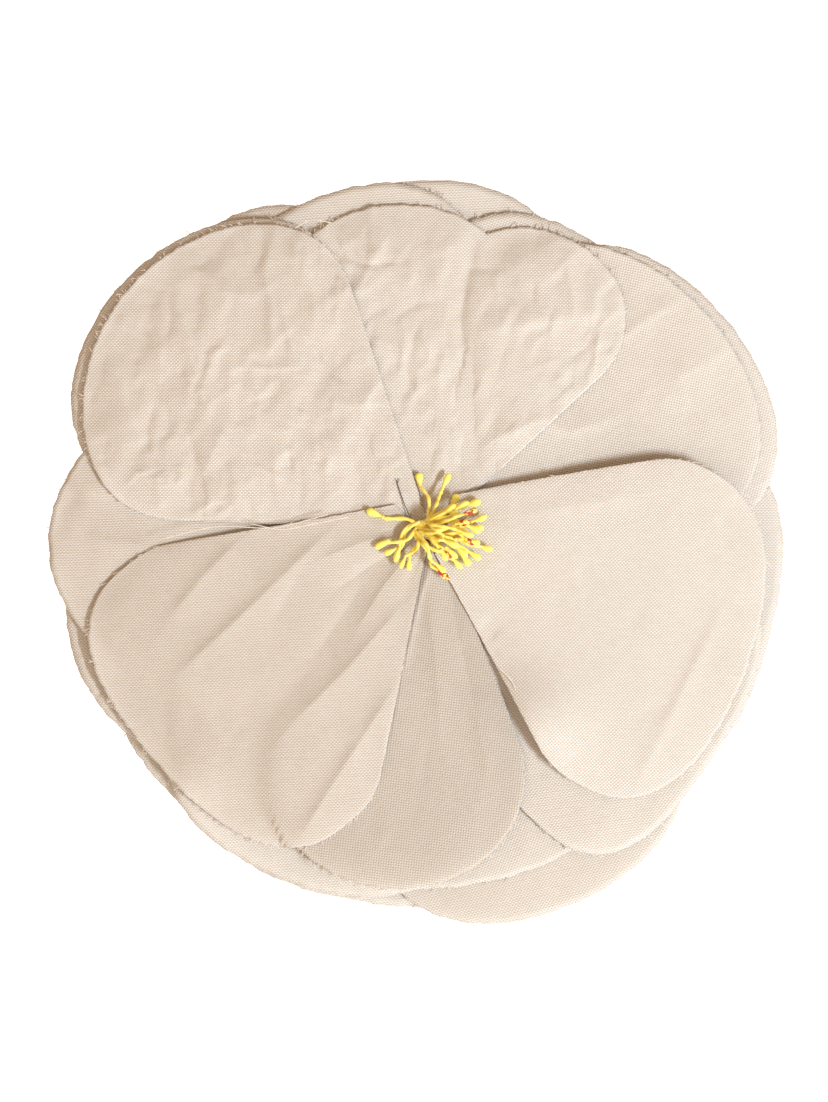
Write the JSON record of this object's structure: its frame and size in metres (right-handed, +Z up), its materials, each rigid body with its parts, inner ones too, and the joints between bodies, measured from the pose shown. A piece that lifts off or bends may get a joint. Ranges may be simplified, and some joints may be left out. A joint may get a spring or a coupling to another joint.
{
  "type": "fabric flower hair clip",
  "caption": "Layered raw-edged fabric flower with a tuft of yellow stamens, felt backed, on a sprung beak clip whose hinged jaw opens to grip hair.",
  "frame": {"origin": "the grip line of the hair clip, behind the middle of the flower", "axes": "+Z up as worn, the flower's front faces -Y, the clip lies along X with its thumb tab towards +X"},
  "size_m": [0.178, 0.0311, 0.18],
  "materials": {
    "cotton_cloth": "matt plain weave, raw cut edges",
    "stamen_yellow": "satin, stiffened thread with dipped heads",
    "cotton_thread": "matt",
    "dark_thread": "matt",
    "felt": "matt felt",
    "plated_steel": "satin nickel plate",
    "spring_steel": "drawn wire"
  },
  "bodies": {
    "flower": {"petal_front_right": "cotton_cloth", "petal_front_lower_left": "cotton_cloth", "petal_front_upper_left": "cotton_cloth", "petal_front_bottom": "cotton_cloth", "petal_front_top": "cotton_cloth", "petal_second_left": "cotton_cloth", "petal_second_lower_right": "cotton_cloth", "petal_second_upper_right": "cotton_cloth", "petal_second_lower_left": "cotton_cloth", "petal_third_upper_left": "cotton_cloth", "petal_third_top": "cotton_cloth", "petal_third_upper_right": "cotton_cloth", "petal_second_bottom": "cotton_cloth", "petal_third_left": "cotton_cloth", "petal_third_lower_right": "cotton_cloth", "petal_back_upper_left": "cotton_cloth", "petal_back_upper_right": "cotton_cloth", "petal_back_lower_left": "cotton_cloth", "petal_back_top": "cotton_cloth", "petal_back_right": "cotton_cloth", "petal_back_bottom": "cotton_cloth", "stamen_01": "stamen_yellow", "stamen_02": "stamen_yellow", "stamen_03": "stamen_yellow", "stamen_04": "stamen_yellow", "stamen_05": "stamen_yellow", "stamen_06": "stamen_yellow", "stamen_07": "stamen_yellow", "stamen_08": "stamen_yellow", "stamen_09": "stamen_yellow", "stamen_10": "stamen_yellow", "stamen_11": "stamen_yellow", "stamen_12": "stamen_yellow", "stamen_13": "stamen_yellow", "stamen_14": "stamen_yellow", "stamen_15": "stamen_yellow", "stamen_16": "stamen_yellow", "stamen_17": "stamen_yellow", "stamen_binding": "cotton_thread", "gathering_thread": "cotton_thread", "sewing_thread": "dark_thread", "felt_backing": "felt", "felt_clip_cover": "felt", "clip_fixed_jaw": "plated_steel", "clip_hinge_pin": "plated_steel", "clip_spring": "spring_steel"},
    "hinged_jaw": {"clip_hinged_jaw": "plated_steel"}
  },
  "joints": [
    {"name": "clip_opening", "type": "hinge", "parent": "flower", "child": "hinged_jaw", "pos_m": [0.015, 0.0016, 0], "axis": [0, 0, -1], "range_deg": [0, 35], "stiffness_Nm_per_rad": 0.12, "springref_deg": -22.92, "deforming": ["clip_spring"]}
  ]
}
